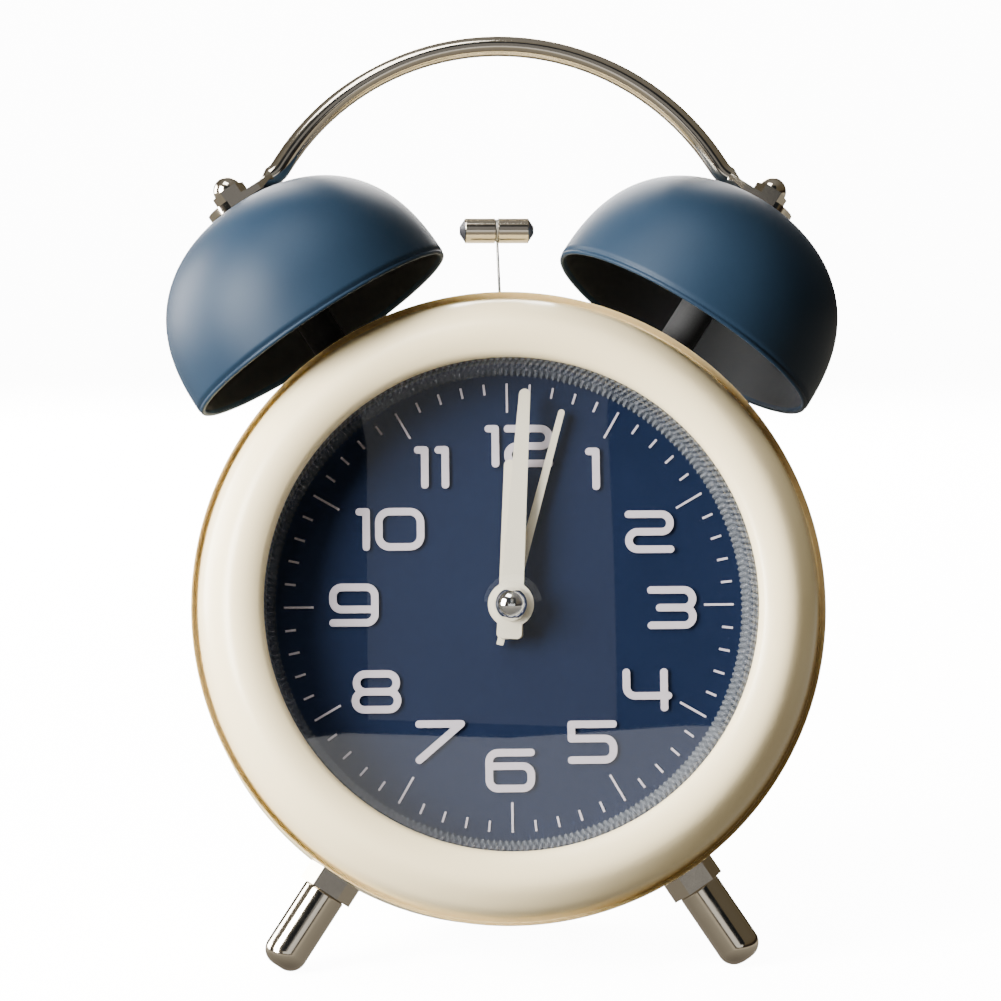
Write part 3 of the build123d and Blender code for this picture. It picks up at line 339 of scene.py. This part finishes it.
def wound(name, shade):
    f = Finish(name)
    turns = f.node("ShaderNodeTexWave", {"wave_type": "BANDS", "bands_direction": "X"},
                   {"Vector": f.place(), "Scale": 1 / (0.9 * MM), "Distortion": 0.6}, output="Fac")
    # painted shade: the colour darkens in the troughs between the turns
    return f.surface(Base_Color=f.blend(turns, tuple(0.45 * v for v in shade), shade), Metallic=0.8,
                     Roughness=0.34 - turns * 0.1, Normal=f.relief(turns, 0.08, 0.8))


black_rubber = moulded("washer_rubber", tone(34, 34, 36), 0.72, 0.4, 0.03)
hammer_grey = moulded("hammer_tip_grey", tone(74, 74, 80), 0.42, 0.3, 0.01)
black_plastic = moulded("knob_black", tone(38, 38, 42), 0.38, 0.5, 0.015, coat=0.2)
white_plastic = moulded("works_white", tone(222, 220, 212), 0.4, 0.5, 0.01)
board_green = moulded("board_green", tone(30, 92, 52), 0.35, 1.4, 0.02, coat=0.3)
battery_jacket = moulded("battery_jacket", tone(58, 66, 76), 0.3, 2.0, 0.004, metal=0.4, coat=0.5)
magnet_grey = moulded("magnet_grey", tone(64, 64, 68), 0.5, 0.3, 0.01, metal=0.7)
light_lens = moulded("light_lens", tone(238, 232, 206), 0.2, 1.0, 0.004, coat=0.5)
copper = wound("copper_winding", tone(196, 116, 70))
print("made nine hidden finishes")

# %% [markdown]
# Each node takes its finish by name. A node keeps its mesh; only its material slot is filled.

# %% Put the finishes on
FINISHES = {
    cream: ["case_shell", "rear_cover", "battery_door"],
    blue_paint: ["left_bell", "right_bell"],
    nickel: ["handle", "cap_nuts", "left_leg", "right_leg", "leg_nuts", "hammer_head"],
    mirror_chrome: ["hand_cap"],
    dull_steel: ["bell_posts", "lock_nuts", "inner_screws", "cover_screws", "hammer_wire",
                 "hammer_bracket", "hammer_pin", "magnet_core", "stator", "quartz_crystal",
                 "battery_contacts", "hammer_armature"],
    crystal_clear: ["crystal"],
    knurled: ["light_ring"],
    dial_blue: ["dial"],
    pale_ink: ["dial_numerals", "minute_marks"],
    cream_hand: ["minute_hand", "hour_hand", "alarm_hand"],
    hammer_grey: ["hammer_tips"],
    black_rubber: ["bell_washers", "bell_spacers"],
    black_plastic: ["time_knob", "alarm_knob", "alarm_switch", "light_button", "light_switch",
                    "alarm_switch_body"],
    white_plastic: ["movement_case", "movement_plate", "centre_wheel", "hour_wheel", "alarm_wheel",
                    "minute_wheel", "alarm_pinion", "third_wheel", "hammer_lever"],
    magnet_grey: ["rotor"],
    copper: ["motor_coil", "magnet_coil"],
    board_green: ["circuit_board", "movement_board"],
    light_lens: ["dial_light"],
    battery_jacket: ["batteries"],
}
for material, names in FINISHES.items():
    for name in names:
        slots = nodes[name].data.materials
        slots.clear()
        slots.append(material)
dressed = {name for names in FINISHES.values() for name in names}
print("dressed", len(dressed), "nodes; left bare:", sorted(set(nodes) - dressed))

# %% [markdown]
# A bell is a turned shape: an outline swept round an axis. The outline here is a superellipse,
# a little fuller than an ellipse, which is how a pressed bell looks, so two exponents describe
# the whole curve. Sweeping it in code gives even quads, a rolled lip and a wall with its own
# inside face in near-black painted shade, finer than the imported solid, which it stands for.


# %% Turned pieces
def turned(name, outline, frame_at, finishes, finish_of, around=192):
    """Sweep (radius, height) points in millimetres round the Z axis of frame_at."""
    work = bmesh.new()
    rings = []
    for radius, height in outline:
        if radius < 1e-6:
            rings.append([work.verts.new((0, 0, height * MM))])
            continue
        rings.append([work.verts.new((radius * MM * cos(2 * pi * n / around),
                                      radius * MM * sin(2 * pi * n / around), height * MM))
                      for n in range(around)])
    for step, (low, high) in enumerate(zip(rings, rings[1:])):
        for n in range(around):
            m = (n + 1) % around
            corners = [low[n], low[m], high[m], high[n]] if len(low) > 1 and len(high) > 1 else (
                [low[n], low[m], high[0]] if len(low) > 1 else [low[0], high[m], high[n]])
            face = work.faces.new(corners)
            face.material_index = finish_of(step)
            face.smooth = True
    bmesh.ops.recalc_face_normals(work, faces=work.faces)
    mesh = bpy.data.meshes.new(name)
    work.to_mesh(mesh)
    work.free()
    mesh.transform(frame_at)
    for finish in finishes:
        mesh.materials.append(finish)
    piece = bpy.data.objects.new(name, mesh)
    bpy.context.scene.collection.objects.link(piece)
    return piece


# %% [markdown]
# The two bells stand on posts that lean outward. These sizes, in millimetres, are the packed
# bells': how far out they sit, their mouth and height, and the hole for the post. The lip is a
# small roll round the mouth.

# %% Bells
BELL_ANGLE = 33.0
BELL_SEAT = 59.0
BELL_R = 26.0
BELL_H = 27.5
BELL_WALL = 1.1
LIP = 0.42
LIP_TOP = 1.2 * LIP          # the walls start above the roll of the lip
HOLE = 1.56


def bell_curve(radius, height, steps=56):
    """Superellipse from the mouth to the edge of the post's hole, steps crowded at the crown."""
    points = []
    for n in range(steps + 1):
        share = sin(pi / 2 * n / steps)
        wide = (1 - share ** 2.6) ** (1 / 2.2)
        if wide * radius > HOLE:
            points.append((wide * radius, share * height))
    return points + [(HOLE, height)]


def bell_outline():
    outside = bell_curve(BELL_R, BELL_H)
    inside = bell_curve(BELL_R - BELL_WALL, BELL_H - BELL_WALL)
    middle = BELL_R - BELL_WALL / 2
    lip = [(middle + LIP * cos(a), LIP * sin(a) + LIP / 2)
           for a in (radians(60 - 24 * n) for n in range(11))]
    down = [p for p in reversed(inside) if p[1] > LIP_TOP]
    up = [p for p in outside if p[1] > LIP_TOP]
    return down + lip[::-1] + up + [inside[-1]]


outline = bell_outline()
inner_wall = bell_curve(BELL_R - BELL_WALL, BELL_H - BELL_WALL)
inner_steps = sum(1 for p in inner_wall if p[1] > LIP_TOP)
for name, side in (("left", -1), ("right", 1)):
    stand = CLOCK @ Matrix.Rotation(radians(side * BELL_ANGLE), 4, "Y") @ Matrix.Translation(
        (0, 0, BELL_SEAT * MM))
    # the inside faces take material slot 1, the near-black painted shade
    bell = turned(name + "_bell_shell", outline, stand, [blue_paint, painted_shade_inside],
                  lambda step: 1 if step < inner_steps - 1 else 0)
    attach(bell, "case")
    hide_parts(name + "_bell")
    print(name, "bell has", len(bell.data.polygons), "faces")

# %% [markdown]
# A clear ring stands between the dial and the crystal. Its sloping inside is knurled with some
# two hundred and fifty ridges, which glitter and hide the gap behind them: a grey band with a
# toothed edge by the dial, then a row of bright beads by the bezel. Bump could not give that
# edge, so every ridge is real. The inside is cut in eight steps a tooth and eight rows deep, and
# each row pushes the steps in or out by its own amount. Radii are in millimetres from the hand
# axis, and the two places along that axis are where the ring meets the dial and the crystal.

# %% Knurled light ring
TEETH = 248
STEPS = 8
RING_DIAL_R = 40.6
RING_FRONT_R = 42.45
RING_OUT_R = 44.0
RING_BACK_Y = -7.05
RING_FRONT_Y = -13.25
GROOVE_FLOOR = 0.42          # the grooves' floor lies this far outside the slope
BEADS_FROM = 0.6             # the share of the way where the deep, bright-edged beads begin
FLAT_SHADE = 0.5             # the flat band's grooves look half as dark
# Share of the way to the crystal, how far the ridge stands in (mm), and its turn in teeth.
BANDS = [(0.0, 0.34, 0.0), (0.10, 0.34, 0.0), (0.38, 0.10, 0.0), (0.50, 0.30, 0.5),
         (0.66, 0.42, 0.75), (0.80, 0.12, 1.0), (0.86, 0.36, 1.0), (1.0, 0.30, 1.25)]


def ridge_height(step, turn):
    """0 in the floor of a groove, 1 on the crest of a ridge, rising evenly between them."""
    return abs(2 * ((step / STEPS + turn) % 1) - 1)


def knurled_ring():
    work = bmesh.new()
    around = TEETH * STEPS
    grid = []
    for share, depth, turn in BANDS:
        radius = RING_DIAL_R + (RING_FRONT_R - RING_DIAL_R) * share
        place = RING_BACK_Y + (RING_FRONT_Y - RING_BACK_Y) * share
        wave = [depth * ridge_height(n, turn) for n in range(STEPS)]
        grid.append([(radius + GROOVE_FLOOR - wave[n % STEPS], place) for n in range(around)])
    grid += [[(RING_OUT_R, RING_FRONT_Y)] * around, [(RING_OUT_R, RING_BACK_Y)] * around]
    lines = []
    for line in grid:
        lines.append([
            work.verts.new((r * MM * cos(2 * pi * n / around), y * MM, r * MM * sin(2 * pi * n / around)))
            for n, (r, y) in enumerate(line)])
    for low, high in zip(lines, lines[1:] + lines[:1]):
        for n in range(around):
            m = (n + 1) % around
            work.faces.new((low[n], low[m], high[m], high[n]))
    bmesh.ops.recalc_face_normals(work, faces=work.faces)
    mesh = bpy.data.meshes.new("knurled_light_ring")
    work.to_mesh(mesh)
    work.free()
    # painted shade: each point's darkening by how deep in a groove it lies, half as strong on the flat band
    shade = mesh.attributes.new("groove", "FLOAT", "POINT")
    for line, (share, depth, turn) in enumerate(BANDS):
        deep = 1.0 if share > BEADS_FROM else FLAT_SHADE
        for n in range(around):
            dark = max(0.0, 1 - 1.5 * ridge_height(n, turn))
            shade.data[line * around + n].value = deep * dark
    mesh.transform(CLOCK)
    mesh.materials.append(knurled)
    piece = bpy.data.objects.new("knurled_light_ring", mesh)
    bpy.context.scene.collection.objects.link(piece)
    return piece


ring = knurled_ring()
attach(ring, "case")
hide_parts("light_ring")
print("ring has", TEETH, "ridges and", len(ring.data.polygons), "faces")

# %% [markdown]
# Pressed hands and raised print have soft edges, which catch a thin line of light. The packed
# solids are sharp, and a bevel modifier rounds them without touching their meshes.


# %% Soft edges
def soften(name, width, steps=2):
    bevel = nodes[name].modifiers.new("soft_edge", "BEVEL")
    bevel.width = width * MM
    bevel.segments = steps
    bevel.limit_method = "ANGLE"
    bevel.angle_limit = radians(50)
    bevel.use_clamp_overlap = True


SOFT_EDGES = {"dial_numerals": 0.14, "minute_hand": 0.1, "hour_hand": 0.1, "alarm_hand": 0.08}
for name, width in SOFT_EDGES.items():
    soften(name, width)
print("softened print and hands")

# %% [markdown]
# The studio is a white sweep: a floor that curves up into a wall, so no horizon shows. It glows
# by itself for the eye, but gives no light to the clock, which is lit by soft boxes.

# %% White sweep
FLOOR_SIZE = 3.0
WALL_AT = 1.2
WALL_R = 0.5


def sweep_sheet():
    work = bmesh.new()
    side = [(-FLOOR_SIZE, 0.0)] + [
        (WALL_AT + WALL_R * sin(a), WALL_R * (1 - cos(a))) for a in (pi / 2 * n / 24 for n in range(25))]
    side.append((WALL_AT + WALL_R, FLOOR_SIZE))
    left = [work.verts.new((-FLOOR_SIZE, y, z)) for y, z in side]
    rightward = [work.verts.new((FLOOR_SIZE, y, z)) for y, z in side]
    for n in range(len(side) - 1):
        face = work.faces.new((left[n], rightward[n], rightward[n + 1], left[n + 1]))
        face.smooth = True
    mesh = bpy.data.meshes.new("white_sweep")
    work.to_mesh(mesh)
    work.free()
    sheet = bpy.data.objects.new("white_sweep", mesh)
    bpy.context.scene.collection.objects.link(sheet)
    return sheet


paper = Finish("white_paper")
paper.surface(Base_Color=paper.blend(paper.noise(60, 2), (0.9, 0.9, 0.9), (0.93, 0.93, 0.93)), Roughness=0.9,
              Emission_Color=(1.0, 1.0, 1.0), Emission_Strength=12.0)
backdrop = sweep_sheet()
backdrop.data.materials.append(paper.material)
backdrop.visible_diffuse = False
backdrop.visible_glossy = False
print("sweep", len(backdrop.data.polygons), "faces")

# %% [markdown]
# A real studio lights a glossy thing with large soft boxes, because a small lamp makes a hard
# dot in every curve. An area light is a soft box. The main one stands to the left and in front,
# a weak one hangs above, and two behind keep the case's back and edges from going dark.


# %% Soft boxes
def soft_box(name, place, aim, size, power, shade=(1, 1, 1)):
    light = bpy.data.lights.new(name, "AREA")
    light.shape = "RECTANGLE"
    light.size, light.size_y = size
    light.energy = power
    light.color = shade
    lamp = bpy.data.objects.new(name, light)
    lamp.location = place
    lamp.rotation_euler = (Vector(aim) - Vector(place)).to_track_quat("-Z", "Y").to_euler()
    bpy.context.scene.collection.objects.link(lamp)
    return lamp


middle = at(0, 0, 0)
soft_box("key_box", (-1.05, -0.62, 0.42), at(-10, 0, 10), (0.6, 0.9), 95.0, (1.0, 0.98, 0.94))
soft_box("back_box", (0.0, 0.9, 0.5), middle, (0.6, 0.6), 20.0, (1.0, 0.98, 0.96))
soft_box("side_box", (-1.0, 0.5, 0.25), middle, (0.6, 0.6), 30.0, (1.0, 0.98, 0.96))
soft_box("top_box", (-0.25, -0.30, 0.95), middle, (0.5, 0.35), 7.0, (1.0, 0.98, 0.95))
print("four soft boxes")

# %% [markdown]
# Glass and plating show what stands round them. A glowing card that only reflections can see
# puts a wall, a dark room or a table edge into the crystal without lighting the clock.


# %% Reflection cards
WALL_Y = -1016
ROOM_Y = -1040
TABLE_Y = -1010


def card(name, corners, depth, strength, shade=(1, 1, 1)):
    """Glowing card that only shows in reflections, through (x, z) corners in the clock's frame."""
    work = bmesh.new()
    work.faces.new([work.verts.new(at(x, depth, z)) for x, z in corners])
    mesh = bpy.data.meshes.new(name)
    work.to_mesh(mesh)
    work.free()
    glow = Finish(name)
    lamp = glow.node("ShaderNodeEmission", {}, {"Color": (*shade, 1), "Strength": strength})
    glow.tree.links.new(lamp.socket, glow.end.inputs["Surface"])
    mesh.materials.append(glow.material)
    sheet = bpy.data.objects.new(name, mesh)
    bpy.context.scene.collection.objects.link(sheet)
    sheet.visible_diffuse = False
    sheet.visible_camera = False
    sheet.visible_shadow = False
    return sheet


# The pale wall behind the camera, the dark of the room beside it and the edge of the table.
wall = [(-125, -60), (-125, 520), (205, 520), (205, -75)]
room_side = [(-620, -90), (-620, 900), (620, 900), (620, -90)]
table = [(-420, -60), (-200, -76), (60, -86), (300, -72), (420, -55), (420, -320), (-420, -320)]
card("dark_room", room_side, ROOM_Y, 0.02, (0.7, 0.85, 1.0))
card("far_wall", wall, WALL_Y, 0.30, (0.92, 0.92, 0.94))
card("table_edge", table, TABLE_Y, 1.1, (0.98, 0.97, 0.95))
print("three cards")

# %% [markdown]
# The rest of the surroundings is the world's colour, which changes only with height. Round
# plated parts squeeze all of it into thin stripes, so a dark band at the level of the horizon
# gives the nickel its dark line, with light below it and khaki above.


# %% Room light
ROOM_STOPS = [(0.0, (0.22, 0.20, 0.17)), (0.36, (0.42, 0.39, 0.33)), (0.44, (0.70, 0.64, 0.53)),
              (0.47, (0.02, 0.014, 0.01)), (0.54, (0.03, 0.02, 0.014)), (0.59, (0.13, 0.105, 0.065)),
              (0.80, (0.15, 0.13, 0.095)), (1.0, (0.30, 0.29, 0.27))]


def room():
    """A dim room: a table below, a dark band at its edge, khaki walls, a grey ceiling."""
    world = bpy.data.worlds.new("room")
    bpy.context.scene.world = world
    world.use_nodes = True
    tree = world.node_tree
    seen = tree.nodes.new("ShaderNodeTexCoord")
    apart = tree.nodes.new("ShaderNodeSeparateXYZ")
    share = tree.nodes.new("ShaderNodeMapRange")
    shades = tree.nodes.new("ShaderNodeValToRGB")
    tree.links.new(seen.outputs["Generated"], apart.inputs[0])
    tree.links.new(apart.outputs["Z"], share.inputs["Value"])
    share.inputs["From Min"].default_value = -1.0
    tree.links.new(share.outputs["Result"], shades.inputs["Fac"])
    ramp = shades.color_ramp
    while len(ramp.elements) < len(ROOM_STOPS):
        ramp.elements.new(0.5)
    for element, (place, shade) in zip(ramp.elements, ROOM_STOPS):
        element.position = place
        element.color = (*shade, 1)
    ground = tree.nodes["Background"]
    tree.links.new(shades.outputs["Color"], ground.inputs["Color"])
    ground.inputs["Strength"].default_value = 1.0


room()
print("studio ready")

# %% [markdown]
# The camera is a long lens about 0.6 m away, a little to the left of the clock and just below
# the middle of its leaning dial, so the dial shows nearly round.

# %% Camera
LENS = 114.3
EYE = at(-36.9, -559.4, -51.1)
AIM = at(-0.9, 0, 19.5)
TILT = radians(-0.77)
camera_data = bpy.data.cameras.new("camera")
camera_data.lens = LENS
camera_data.sensor_width = 36.0
camera_data.clip_start = 0.01
camera = bpy.data.objects.new("camera", camera_data)
look = (AIM - EYE).normalized()
level = look.cross(upward).normalized()
plumb = level.cross(look)
side_way = level * cos(TILT) + plumb * sin(TILT)
head_up = plumb * cos(TILT) - level * sin(TILT)
camera_axes = Matrix((side_way, head_up, -look)).transposed().to_4x4()
camera.matrix_world = Matrix.Translation(EYE) @ camera_axes
bpy.context.scene.collection.objects.link(camera)
bpy.context.scene.camera = camera
print("camera at", tuple(round(v, 3) for v in EYE))
